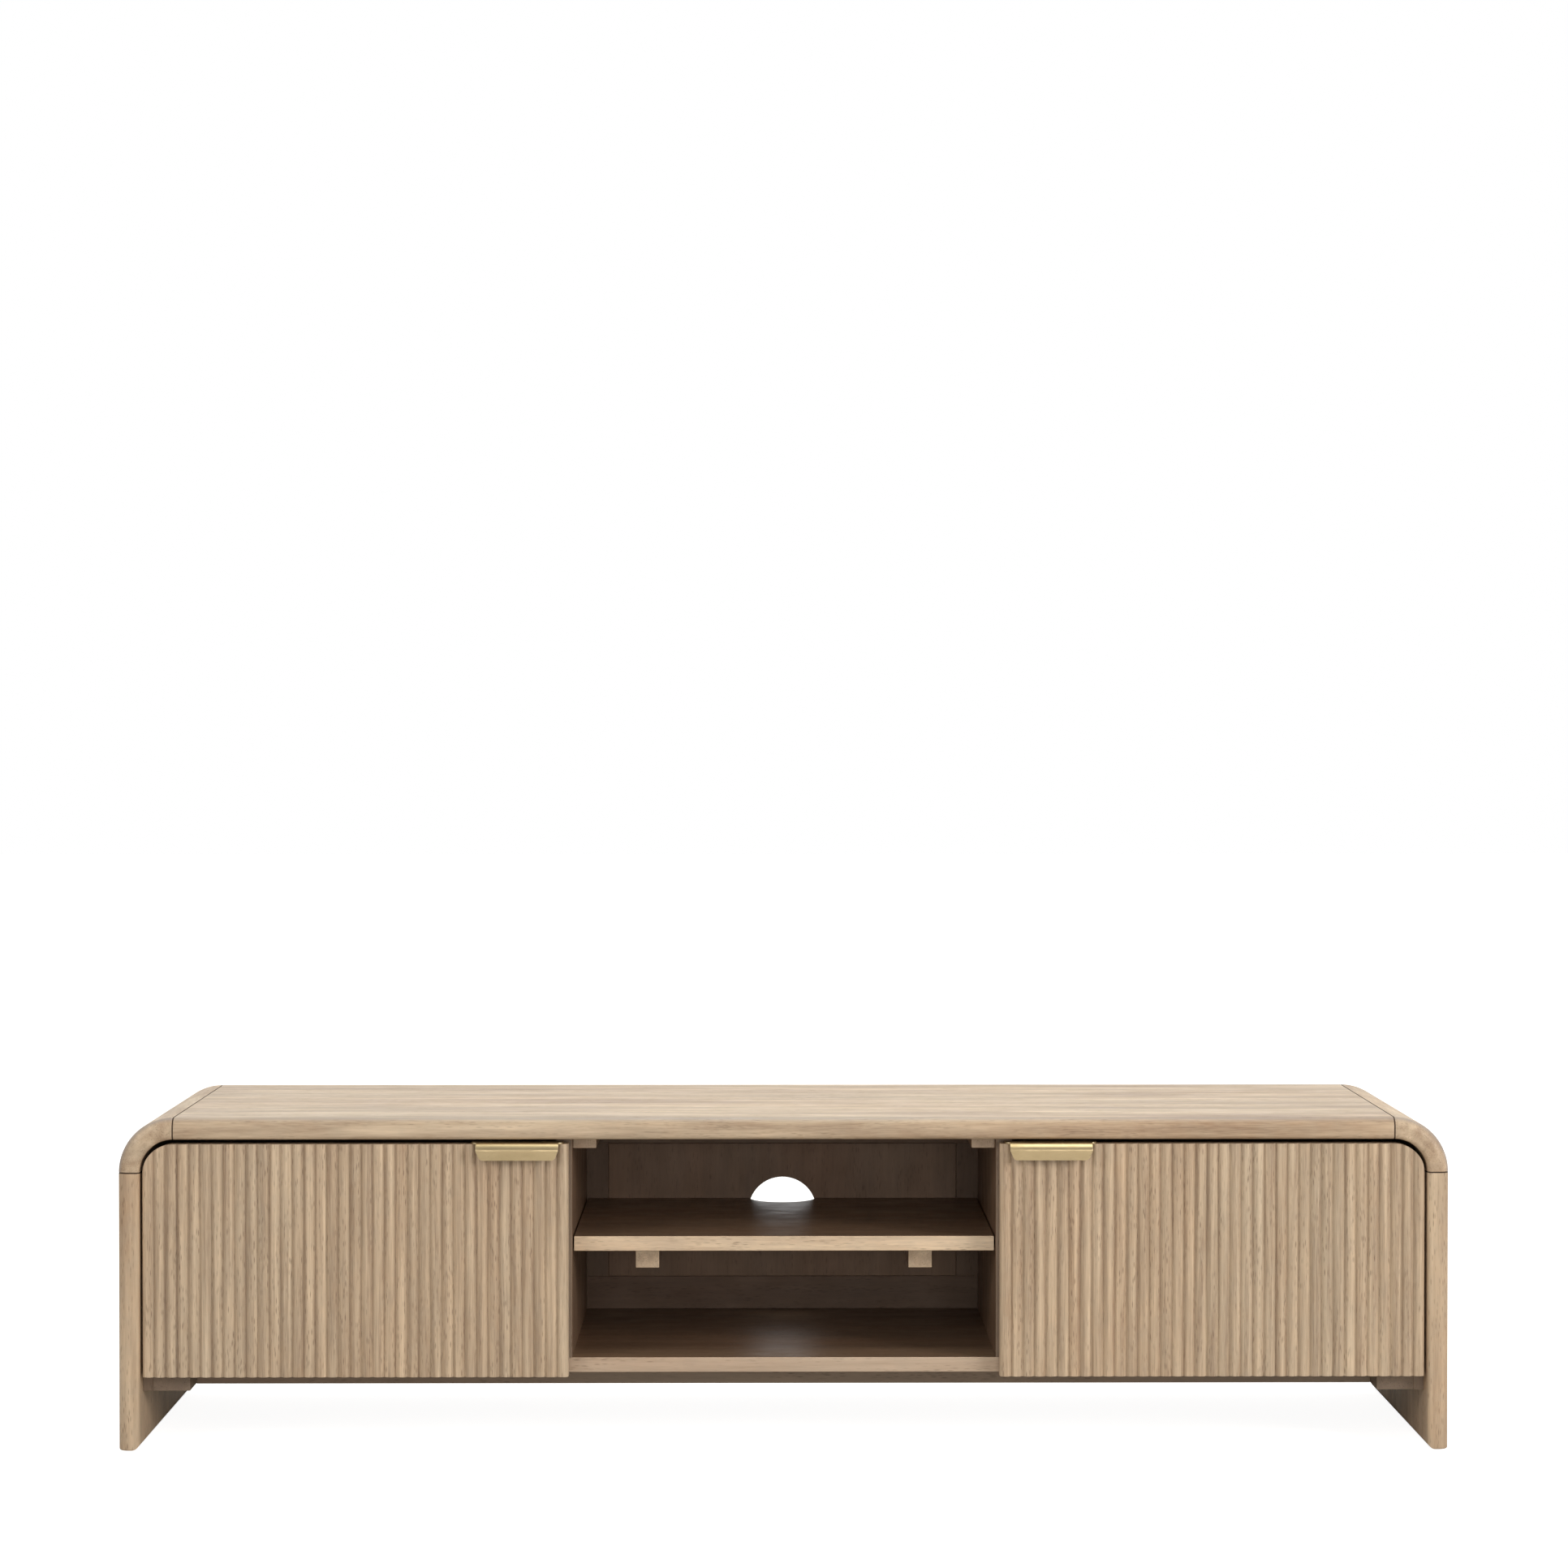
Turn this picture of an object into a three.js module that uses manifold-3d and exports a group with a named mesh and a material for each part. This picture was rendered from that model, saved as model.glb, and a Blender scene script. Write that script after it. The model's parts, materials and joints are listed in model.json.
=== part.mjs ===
// Low media cabinet with a rounded "waterfall" shell, two reeded doors and an open centre bay.
// Millimetres, +Z up, front towards -Y. The origin is on the floor, under the middle of the cabinet.
import * as THREE from "three";
import { mergeVertices } from "three/addons/utils/BufferGeometryUtils.js";
import Module from "manifold-3d";

const wasm = await Module();
wasm.setup();

// ---- driving dimensions ----
const width = 1600;
const shellDepth = 400;
const height = 400;
const board = 26; // thickness of the top, the corner blocks and the side panels
const cornerRadius = 66; // outside radius of the shell's two top corners
const pullReach = 10; // how far the pulls stand in front of the shell
const seam = 0.3; // hairline between two boards of the shell
const ease = 0.3; // play round a loose piece in its groove or hole

const halfWidth = width / 2;
const shellFront = -(shellDepth - pullReach) / 2; // y of the shell's front face
const innerRadius = cornerRadius - board;
const cornerX = halfWidth - cornerRadius; // the corner's centre, and the seam with the top board
const cornerZ = height - cornerRadius; // the same centre, and the seam with the side panel
const legInner = halfWidth - board; // inner face of a side panel
const topUnder = height - board; // underside of the top board
const outerFrontRound = 12;
const innerFrontRound = 5;
const backRound = 2;

// Depths are counted back from the shell's front face.
const carcass = { front: 24, back: 386, baseLow: 68, low: 90, floor: 108, lining: 12, liningDrop: 4 };
const divider = { inner: 256, outer: 275 };
const shelfSize = { half: 254.5, low: 235, high: 253, front: 36, back: 385, notch: 42 };
const shelfBatten = { inner: 152, outer: 181, low: 209, front: 72, back: 382 };
const topCleat = { inner: 227, low: 359, front: 40, back: 382 };
const baseBattenInner = 717;
const frontRail = { front: 70, back: 92 };
const rearRail = { front: 362, back: 384 };
const backFrame = {
  front: 386,
  back: 398,
  railLow: 150,
  railHigh: 325,
  stileInner: 228,
  endStile: 717,
  play: 0.5, // all round, inside the shell
};
const backPanel = { front: 385, step: 389, back: 394, tongue: 8, gap: 0.7 };
const cableHole = { radius: 44.5, z: 236, passage: 40 };

const door = { front: 2, back: 21, low: 88, high: 368.5, inner: 259.5, outer: 771 };
const doorCorner = door.outer - cornerX; // radius of the door's top outer corner
const reed = { count: 37, depth: 4 };
const doorBackRound = 2;

const pull = { sheet: 2, bend: 7, low: 350, backInner: 265, backOuter: 376, backStep: 1 };
const pullTaper = { bendInset: 6, lipInset: 11, lipRound: 5, flare: 8, flareTurn: 2, flareInset: 1, bow: 1 };
const pullScrew = { head: 3.6, shank: 1.6, length: 17, depth: 12.5, inset: 24 };

// A concealed hinge: its link turns on an arm pivot in the cabinet and a cup pivot in the door.
const armPivot = { x: 734, depth: 30 };
const cupPivot = { x: 759, depth: 13.5 };
const knee = { x: 745.5, depth: 13.6 }; // the link's bend, which carries it over the door's edge
const link = { thick: 2.6, half: 4.5, pin: 1.25, eye: 2.6, armReach: 6.7, cupReach: 14.5, play: 0.1 };
const hingeHeights = { lower: 133, upper: 300 };
const cup = { fromEdge: 3, radius: 17.5, sink: 12, wall: 0.8, lip: 1, wingHalf: 26, wing: 8 };
const arm = {
  eye: 3.2,
  half: 6.7,
  slotHalf: 5,
  thick: 11,
  front: 34,
  neck: 8,
  back: 66,
  cornerIn: 3,
  cornerBack: 4,
};
const hingePlate = { thick: 2, front: 31, back: 64, half: 24, round: 6 };

const spline = { thick: 6, reach: 12, front: 30, back: 370 };
const shelfPin = { radius: 2.5, inBoard: 9, inShelf: 12, front: 84, back: 338 };

// ---- materials ----
function wood(color, roughness) {
  return new THREE.MeshStandardMaterial({ color, roughness, metalness: 0 });
}
const finishes = {
  lengthwiseWood: wood(0xb89b7f, 0.62),
  uprightWood: wood(0xb59879, 0.62),
  hiddenWood: wood(0xa38a70, 0.7),
  brass: new THREE.MeshStandardMaterial({ color: 0xbfa274, roughness: 0.34, metalness: 1 }),
  nickel: new THREE.MeshStandardMaterial({ color: 0xb9b8b4, roughness: 0.3, metalness: 1 }),
};

// ---- solids ----
const depthToY = (depth) => shellFront + depth;

function solidOf(geometry) {
  const bare = geometry.clone();
  bare.deleteAttribute("normal");
  bare.deleteAttribute("uv");
  const merged = mergeVertices(bare, 1e-4);
  return new wasm.Manifold(
    new wasm.Mesh({
      numProp: 3,
      vertProperties: merged.attributes.position.array,
      triVerts: new Uint32Array(merged.index.array),
    }),
  );
}

function geometryOf(solid) {
  const mesh = solid.getMesh();
  return new THREE.BufferGeometry()
    .setAttribute("position", new THREE.BufferAttribute(mesh.vertProperties, 3))
    .setIndex(new THREE.BufferAttribute(mesh.triVerts, 1));
}

function cut(geometry, ...cutters) {
  return geometryOf(cutters.reduce((rest, cutter) => rest.subtract(solidOf(cutter)), solidOf(geometry)));
}

function join(geometry, ...others) {
  return geometryOf(others.reduce((sum, other) => sum.add(solidOf(other)), solidOf(geometry)));
}

function common(geometry, other) {
  return geometryOf(solidOf(geometry).intersect(solidOf(other)));
}

// A block between two values of x, of depth and of z.
function block([x0, x1], [d0, d1], [z0, z1]) {
  return new THREE.BoxGeometry(x1 - x0, d1 - d0, z1 - z0).translate(
    (x0 + x1) / 2,
    depthToY((d0 + d1) / 2),
    (z0 + z1) / 2,
  );
}

// A rod along x, y or z, from its centre point.
function rod(axis, radius, length, [x, depth, z], sides = 16) {
  const made = new THREE.CylinderGeometry(radius, radius, length, sides);
  if (axis === "x") made.rotateZ(Math.PI / 2);
  if (axis === "z") made.rotateX(Math.PI / 2);
  return made.translate(x, depthToY(depth), z);
}

function extrude(shape, depth, curveSegments) {
  return new THREE.ExtrudeGeometry(shape, { depth, bevelEnabled: false, curveSegments });
}

// A section drawn in depth and z, drawn out along x.
function alongX(section, [x0, x1], curveSegments = 4) {
  const turn = new THREE.Matrix4().makeBasis(
    new THREE.Vector3(0, 1, 0),
    new THREE.Vector3(0, 0, 1),
    new THREE.Vector3(1, 0, 0),
  );
  return extrude(section, x1 - x0, curveSegments).applyMatrix4(turn).translate(x0, shellFront, 0);
}

// An outline drawn in x and z, drawn out from one depth to another.
function alongDepth(outline, [d0, d1], curveSegments = 6) {
  return extrude(outline, d1 - d0, curveSegments).rotateX(Math.PI / 2).translate(0, depthToY(d1), 0);
}

// A plan drawn in x and depth, drawn out along z.
function alongZ(plan, [z0, z1], curveSegments = 4) {
  return extrude(plan, z1 - z0, curveSegments).translate(0, shellFront, z0);
}

// A rectangle whose corners are rounded by [low u low v, high u low v, high u high v, low u high v].
function roundedRectangle([u0, u1], [v0, v1], [a, b, c, d]) {
  const shape = new THREE.Shape();
  const corner = (u, v, radius, from) => {
    if (radius > 0) shape.absarc(u, v, radius, from, from + Math.PI / 2, false);
    else shape.lineTo(u, v);
  };
  shape.moveTo(u0 + a, v0);
  corner(u1 - b, v0 + b, b, -Math.PI / 2);
  corner(u1 - c, v1 - c, c, 0);
  corner(u0 + d, v1 - d, d, Math.PI / 2);
  corner(u0 + a, v0 + a, a, Math.PI);
  return shape;
}

// ---- the group ----
const cabinet = new THREE.Group();

function place(name, geometry, finish) {
  const mesh = new THREE.Mesh(geometry, finishes[finish].clone());
  mesh.name = name;
  cabinet.add(mesh);
  return mesh;
}

// Every piece that comes in a pair is drawn for the right-hand side and mirrored for the left.
function placePair(name, geometry, finish) {
  place(`right_${name}`, geometry, finish);
  place(`left_${name}`, geometry, finish).scale.x = -1;
}

// ---- shell ----
const midBoard = cornerRadius - board / 2; // from the corner's centre to the middle of the boards

// The loose spline across the seam with the top board, or the room for it when play is given.
function topSpline(seamX, play = 0) {
  const half = spline.thick / 2 + play;
  const reach = spline.reach + play;
  const z = cornerZ + midBoard;
  const depths = [spline.front - play, spline.back + play];
  return block([seamX - reach, seamX + reach], depths, [z - half, z + half]);
}

// The same across the seam with the side panel.
function sideSpline(play = 0) {
  const half = spline.thick / 2 + play;
  const reach = spline.reach + play;
  const x = cornerX + midBoard;
  const depths = [spline.front - play, spline.back + play];
  return block([x - half, x + half], depths, [cornerZ - reach, cornerZ + reach]);
}

function addShell() {
  const gap = seam / 2;
  const topSection = roundedRectangle(
    [0, shellDepth],
    [topUnder, height],
    [innerFrontRound, backRound, backRound, outerFrontRound],
  );
  const topEnd = cornerX - gap;
  const grooves = [topSpline(cornerX, ease), topSpline(-cornerX, ease)];
  const top = cut(alongX(topSection, [-topEnd, topEnd]), ...grooves);
  place("top_board", top, "lengthwiseWood");

  // the corner block: the shell's section turned a quarter round the corner's centre
  const ringSection = roundedRectangle(
    [innerRadius, cornerRadius],
    [0, shellDepth],
    [innerFrontRound, outerFrontRound, backRound, backRound],
  );
  const loop = ringSection.getPoints(4);
  loop.push(loop[0].clone());
  const ring = new THREE.LatheGeometry(loop, 48).translate(cornerX, shellFront, cornerZ);
  const quarter = block(
    [cornerX + gap, halfWidth + board],
    [-board, shellDepth + board],
    [cornerZ + gap, height + board],
  );
  const corner = cut(common(ring, quarter), topSpline(cornerX, ease), sideSpline(ease));
  placePair("corner_block", corner, "lengthwiseWood");

  const legPlan = roundedRectangle(
    [legInner, halfWidth],
    [0, shellDepth],
    [innerFrontRound, outerFrontRound, backRound, backRound],
  );
  const leg = cut(alongZ(legPlan, [0, cornerZ - gap]), sideSpline(ease));
  placePair("side_panel", leg, "uprightWood");

  placePair("top_seam_spline", topSpline(cornerX), "hiddenWood");
  placePair("side_seam_spline", sideSpline(), "hiddenWood");
}

// ---- carcass ----
function shelfPinHoles() {
  const reach = shelfPin.inBoard + ease;
  const z = shelfSize.low + shelfPin.radius;
  return [shelfPin.front, shelfPin.back].map((depth) =>
    rod("x", shelfPin.radius + ease, 2 * reach, [divider.inner, depth, z]),
  );
}

function addCarcass() {
  const liningInner = legInner - carcass.lining;
  const depths = [carcass.front, carcass.back];
  const bottom = block([-liningInner, liningInner], depths, [carcass.low, carcass.floor]);
  place("bottom_board", bottom, "lengthwiseWood");
  const lining = block([liningInner, legInner], depths, [carcass.baseLow, cornerZ - carcass.liningDrop]);
  placePair("inner_side", lining, "uprightWood");
  const upright = block([divider.inner, divider.outer], depths, [carcass.floor, topUnder]);
  placePair("divider", cut(upright, ...shelfPinHoles()), "uprightWood");
  const batten = block([baseBattenInner, liningInner], depths, [carcass.baseLow, carcass.low]);
  placePair("base_batten", batten, "hiddenWood");
  for (const [name, rail] of [["front_base_rail", frontRail], ["rear_base_rail", rearRail]]) {
    const ends = [-baseBattenInner, baseBattenInner];
    place(name, block(ends, [rail.front, rail.back], [carcass.baseLow, carcass.low]), "hiddenWood");
  }
  const cleat = block(
    [topCleat.inner, divider.inner],
    [topCleat.front, topCleat.back],
    [topCleat.low, topUnder],
  );
  placePair("top_cleat", cleat, "hiddenWood");
}

function addShelf() {
  const { half, low, high, front, back, notch } = shelfSize;
  const plate = block([-half, half], [front, back], [low, high]);
  const cableNotch = rod("z", notch, high - low + 2, [0, back, (low + high) / 2], 48);
  // stopped grooves in the ends of the underside drop over the four pins
  const grooves = [];
  for (const side of [-1, 1]) {
    for (const depth of [shelfPin.front, shelfPin.back]) {
      const x0 = side * (half - shelfPin.inShelf - ease);
      const x1 = side * (half + 1);
      const r = shelfPin.radius + ease;
      const across = [Math.min(x0, x1), Math.max(x0, x1)];
      grooves.push(block(across, [depth - r, depth + r], [low - 1, low + 2 * r]));
    }
  }
  place("shelf", cut(plate, cableNotch, ...grooves), "lengthwiseWood");
  const batten = block(
    [shelfBatten.inner, shelfBatten.outer],
    [shelfBatten.front, shelfBatten.back],
    [shelfBatten.low, low],
  );
  placePair("shelf_batten", batten, "hiddenWood");
  for (const [name, depth] of [["front_shelf_pin", shelfPin.front], ["rear_shelf_pin", shelfPin.back]]) {
    const inner = half - shelfPin.inShelf;
    const outer = divider.inner + shelfPin.inBoard;
    const centre = [(inner + outer) / 2, depth, low + shelfPin.radius];
    placePair(name, rod("x", shelfPin.radius, outer - inner, centre), "nickel");
  }
}

// ---- back: rails and stiles grooved for three panels ----
function panelSpaces() {
  const { stileInner, endStile } = backFrame;
  return [
    ["left_back_panel", [-endStile, -divider.outer]],
    ["centre_back_panel", [-stileInner, stileInner]],
    ["right_back_panel", [divider.outer, endStile]],
  ];
}

function panelGrooves() {
  const reach = backPanel.tongue + ease;
  const depths = [backPanel.step - ease, backPanel.back + ease];
  const heights = [backFrame.railLow - reach, backFrame.railHigh + reach];
  return panelSpaces().map(([, [x0, x1]]) => block([x0 - reach, x1 + reach], depths, heights));
}

function addBack() {
  const { front, back, railLow, railHigh, stileInner, endStile, play } = backFrame;
  const depths = [front, back];
  const railEnd = legInner - play;
  const grooves = panelGrooves();

  const railOutline = new THREE.Shape();
  railOutline.moveTo(-railEnd, railHigh);
  railOutline.lineTo(railEnd, railHigh);
  railOutline.lineTo(railEnd, cornerZ);
  railOutline.absarc(cornerX, cornerZ, innerRadius - play, 0, Math.PI / 2, false);
  railOutline.lineTo(-cornerX, topUnder - play);
  railOutline.absarc(-cornerX, cornerZ, innerRadius - play, Math.PI / 2, Math.PI, false);
  place("top_back_rail", cut(alongDepth(railOutline, depths), ...grooves), "lengthwiseWood");
  const low = block([-railEnd, railEnd], depths, [carcass.baseLow, railLow]);
  place("bottom_back_rail", cut(low, ...grooves), "lengthwiseWood");
  const middle = block([stileInner, divider.outer], depths, [railLow, railHigh]);
  placePair("middle_back_stile", cut(middle, ...grooves), "uprightWood");
  const end = block([endStile, railEnd], depths, [railLow, railHigh]);
  placePair("end_back_stile", cut(end, ...grooves), "uprightWood");

  for (const [name, [x0, x1]] of panelSpaces()) {
    const { gap, tongue } = backPanel;
    const raised = block(
      [x0 + gap, x1 - gap],
      [backPanel.front, backPanel.back],
      [railLow + gap, railHigh - gap],
    );
    const tongues = block(
      [x0 - tongue, x1 + tongue],
      [backPanel.step, backPanel.back],
      [railLow - tongue, railHigh + tongue],
    );
    const panel = join(raised, tongues);
    place(name, name === "centre_back_panel" ? cut(panel, cablePassage()) : panel, "lengthwiseWood");
  }
}

function cablePassage() {
  const passage = new THREE.CylinderGeometry(cableHole.radius, cableHole.radius, cableHole.passage, 64);
  return passage.translate(0, depthToY(backPanel.back), cableHole.z);
}

// ---- doors ----
function doorBlank() {
  // plan of the slab with its row of reeds, each a shallow arc between two valleys
  const pitch = (door.outer - door.inner) / reed.count;
  const valley = door.front + reed.depth;
  const arcRadius = (pitch ** 2 / 4 + reed.depth ** 2) / (2 * reed.depth);
  const halfAngle = Math.asin(pitch / 2 / arcRadius);
  const plan = new THREE.Shape();
  plan.moveTo(door.inner, door.back);
  plan.lineTo(door.inner, valley);
  for (let i = 0; i < reed.count; i++) {
    const x = door.inner + (i + 0.5) * pitch;
    const from = -Math.PI / 2 - halfAngle;
    plan.absarc(x, door.front + arcRadius, arcRadius, from, from + 2 * halfAngle, false);
  }
  plan.absarc(door.outer - doorBackRound, door.back - doorBackRound, doorBackRound, 0, Math.PI / 2, false);
  plan.closePath();
  return alongZ(plan, [door.low, door.high], 2);
}

function doorOutline() {
  const outline = roundedRectangle([door.inner, door.outer], [door.low, door.high], [0, 0, doorCorner, 0]);
  return alongDepth(outline, [door.front - 1, door.back + 1], 8);
}

function addDoors() {
  const cupX = door.outer - cup.fromEdge - cup.radius;
  const cutters = [];
  for (const z of Object.values(hingeHeights)) {
    const bore = new THREE.CylinderGeometry(cup.radius + ease, cup.radius + ease, cup.sink + ease + 1, 32);
    bore.translate(cupX, depthToY(door.back - (cup.sink + ease - 1) / 2), z);
    cutters.push(bore);
  }
  for (const x of pullScrewPlaces()) {
    const length = pullScrew.length;
    const centre = [x, pullScrew.depth, door.high + 1 - length / 2];
    cutters.push(rod("z", pullScrew.shank + ease, length, centre));
  }
  placePair("door", cut(common(doorBlank(), doorOutline()), ...cutters), "uprightWood");
}

// ---- pulls ----
function pullScrewPlaces() {
  return [pull.backInner + pullScrew.inset, pull.backOuter - pullScrew.inset];
}

// A countersunk screw with its head flush with the flange, or the hole for it when play is given.
function pullScrewSolid(x, play = 0) {
  const shank = pullScrew.shank + play;
  const head = pullScrew.head + play;
  const tip = 1 - pullScrew.length;
  const profile = [[0, tip], [shank, tip], [shank, shank - head], [head, 0]];
  if (play > 0) profile.push([head, play]);
  profile.push([0, play]);
  const points = profile.map(([r, h]) => new THREE.Vector2(r, h));
  const turned = new THREE.LatheGeometry(points, 24).rotateX(Math.PI / 2);
  return turned.translate(x, depthToY(pullScrew.depth), door.high + pull.sheet);
}

function addPulls() {
  // section of the bent sheet in depth and z: flange, bend, lip
  const top = door.high + pull.sheet;
  const lipFront = -pullReach;
  const { bend, sheet } = pull;
  const section = new THREE.Shape();
  section.moveTo(door.back - pull.backStep, door.high);
  section.lineTo(door.back - pull.backStep, top);
  section.lineTo(lipFront + bend, top);
  section.absarc(lipFront + bend, top - bend, bend, Math.PI / 2, Math.PI, false);
  section.lineTo(lipFront, pull.low);
  section.lineTo(lipFront + sheet, pull.low);
  section.lineTo(lipFront + sheet, top - bend);
  section.absarc(lipFront + bend, top - bend, bend - sheet, Math.PI, Math.PI / 2, true);
  section.closePath();
  const sheetSolid = alongX(section, [pull.backInner - 1, pull.backOuter + 1], 6);

  // the flange narrows towards the bend, and the lip narrows to its rounded lower corners
  const { backInner, backOuter } = pull;
  const { bendInset, lipInset, lipRound, flare, flareTurn, flareInset, bow } = pullTaper;
  const plan = new THREE.Shape();
  const bendDepth = lipFront + bend;
  plan.moveTo(backInner, door.back);
  plan.lineTo(backInner, bendDepth + flare);
  plan.quadraticCurveTo(backInner + flareInset, bendDepth + flareTurn, backInner + bendInset, bendDepth);
  plan.lineTo(backInner + bendInset, lipFront - 1);
  plan.lineTo(backOuter - bendInset, lipFront - 1);
  plan.lineTo(backOuter - bendInset, bendDepth);
  plan.quadraticCurveTo(backOuter - flareInset, bendDepth + flareTurn, backOuter, bendDepth + flare);
  plan.lineTo(backOuter, door.back);
  plan.closePath();
  const shoulder = door.high - pull.sheet / 4;
  const face = new THREE.Shape();
  face.moveTo(backInner - 1, top + 1);
  face.lineTo(backInner - 1, shoulder);
  face.lineTo(backInner + bendInset, shoulder);
  face.lineTo(backInner + lipInset - bow, pull.low + lipRound);
  face.quadraticCurveTo(backInner + lipInset, pull.low, backInner + lipInset + lipRound, pull.low);
  face.lineTo(backOuter - lipInset - lipRound, pull.low);
  face.quadraticCurveTo(backOuter - lipInset, pull.low, backOuter - lipInset + bow, pull.low + lipRound);
  face.lineTo(backOuter - bendInset, shoulder);
  face.lineTo(backOuter + 1, shoulder);
  face.lineTo(backOuter + 1, top + 1);
  face.closePath();
  const trimmed = common(
    common(sheetSolid, alongZ(plan, [pull.low - 1, top + 1], 6)),
    alongDepth(face, [lipFront - 2, door.back + 1], 6),
  );
  const holes = pullScrewPlaces().map((x) => pullScrewSolid(x, ease));
  placePair("pull", cut(trimmed, ...holes), "brass");
  const [inner, outer] = pullScrewPlaces();
  placePair("pull_inner_screw", pullScrewSolid(inner), "brass");
  placePair("pull_outer_screw", pullScrewSolid(outer), "brass");
}

// ---- hinges ----
function hingeCup(z) {
  const x = door.outer - cup.fromEdge - cup.radius;
  const bottom = door.back - cup.sink;
  const inner = cup.radius - cup.wall;
  const profile = [
    new THREE.Vector2(0, bottom),
    new THREE.Vector2(cup.radius, bottom),
    new THREE.Vector2(cup.radius, door.back + cup.lip),
    new THREE.Vector2(inner, door.back + cup.lip),
    new THREE.Vector2(inner, bottom + cup.wall),
    new THREE.Vector2(0, bottom + cup.wall),
  ];
  const bowl = new THREE.LatheGeometry(profile, 32).translate(x, shellFront, z);
  const wingPlan = roundedRectangle(
    [x - cup.wing, x + cup.wing],
    [z - cup.wingHalf, z + cup.wingHalf],
    [cup.wing - 1, cup.wing - 1, cup.wing - 1, cup.wing - 1],
  );
  const wings = alongDepth(wingPlan, [door.back, door.back + cup.lip]);
  const mouth = new THREE.CylinderGeometry(inner, inner, 4, 32).translate(x, depthToY(door.back), z);
  const pinHoles = rod("z", link.pin + link.play, 2 * cup.radius, [cupPivot.x, cupPivot.depth, z]);
  return cut(join(bowl, wings), mouth, pinHoles);
}

// The cranked link with its two riveted pins.
function hingeLink(z) {
  const half = link.thick / 2;
  const plan = new THREE.Shape();
  plan.moveTo(cupPivot.x, cupPivot.depth - half);
  plan.lineTo(cupPivot.x, cupPivot.depth + half);
  plan.lineTo(knee.x + half / 2, knee.depth + half);
  plan.lineTo(armPivot.x + half, armPivot.depth);
  plan.lineTo(armPivot.x - half, armPivot.depth - half);
  plan.lineTo(knee.x - half, knee.depth - half / 2);
  plan.lineTo(knee.x, knee.depth - half);
  const bar = alongZ(plan, [z - link.half, z + link.half]);
  const ends = [cupPivot, armPivot].map(({ x, depth }, i) => [
    rod("z", link.eye, 2 * link.half, [x, depth, z]),
    rod("z", link.pin, 2 * (i === 0 ? link.cupReach : link.armReach), [x, depth, z]),
  ]);
  return join(bar, ...ends.flat());
}

// The arm on its plate, forked in front to hold the link.
function hingeArm(z) {
  const outer = legInner - carcass.lining - hingePlate.thick;
  const inner = outer - arm.thick;
  const plan = new THREE.Shape();
  plan.moveTo(armPivot.x, armPivot.depth - arm.eye);
  plan.lineTo(outer, arm.front);
  plan.lineTo(outer, arm.back);
  plan.lineTo(inner + arm.cornerIn, arm.back);
  plan.lineTo(inner, arm.back - arm.cornerBack);
  plan.lineTo(inner, arm.front + arm.neck);
  plan.lineTo(armPivot.x, armPivot.depth + arm.eye);
  plan.absarc(armPivot.x, armPivot.depth, arm.eye, Math.PI / 2, 1.5 * Math.PI, false);
  const body = alongZ(plan, [z - arm.half, z + arm.half], 6);
  const slot = block(
    [armPivot.x - 2 * arm.eye, inner - 1],
    [armPivot.depth - 2 * arm.eye, arm.back],
    [z - arm.slotHalf, z + arm.slotHalf],
  );
  const bore = rod("z", link.pin + link.play, 4 * arm.half, [armPivot.x, armPivot.depth, z]);
  return cut(body, slot, bore);
}

function addHinges() {
  const plateX = legInner - carcass.lining;
  for (const [level, z] of Object.entries(hingeHeights)) {
    placePair(`${level}_hinge_cup`, hingeCup(z), "nickel");
    placePair(`${level}_hinge_link`, hingeLink(z), "nickel");
    placePair(`${level}_hinge_arm`, hingeArm(z), "nickel");
    const r = hingePlate.round;
    const outline = roundedRectangle(
      [hingePlate.front, hingePlate.back],
      [z - hingePlate.half, z + hingePlate.half],
      [r, r, r, r],
    );
    const plate = alongX(outline, [plateX - hingePlate.thick, plateX]);
    placePair(`${level}_hinge_plate`, plate, "nickel");
  }
}

addShell();
addCarcass();
addShelf();
addBack();
addDoors();
addPulls();
addHinges();

export default cabinet;
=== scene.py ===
# Low media cabinet: rounded shell, two reeded doors, open middle bay.
import json
import math
import random

import bmesh
import bpy
from mathutils import Matrix, Vector


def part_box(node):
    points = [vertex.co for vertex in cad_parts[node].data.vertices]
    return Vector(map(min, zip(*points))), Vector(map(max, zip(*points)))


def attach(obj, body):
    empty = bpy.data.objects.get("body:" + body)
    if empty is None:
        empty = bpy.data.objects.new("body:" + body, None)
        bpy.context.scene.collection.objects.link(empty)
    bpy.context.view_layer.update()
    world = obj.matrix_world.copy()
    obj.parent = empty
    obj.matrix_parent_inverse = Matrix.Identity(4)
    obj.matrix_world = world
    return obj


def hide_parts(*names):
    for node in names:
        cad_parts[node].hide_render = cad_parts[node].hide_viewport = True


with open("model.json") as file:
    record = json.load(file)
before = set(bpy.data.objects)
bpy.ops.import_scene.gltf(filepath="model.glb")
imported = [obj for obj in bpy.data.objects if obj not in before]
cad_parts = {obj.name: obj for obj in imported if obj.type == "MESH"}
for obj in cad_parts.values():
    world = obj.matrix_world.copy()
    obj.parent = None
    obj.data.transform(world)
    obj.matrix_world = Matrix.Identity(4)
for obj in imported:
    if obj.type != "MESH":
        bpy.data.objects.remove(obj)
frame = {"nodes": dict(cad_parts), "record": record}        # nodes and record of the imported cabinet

mm = 0.001
scene = bpy.context.scene
nodes = frame["nodes"]
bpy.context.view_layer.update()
dice = random.Random(41)
sides = {"right": 1, "left": -1}

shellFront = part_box("top_board")[0].y


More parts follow.
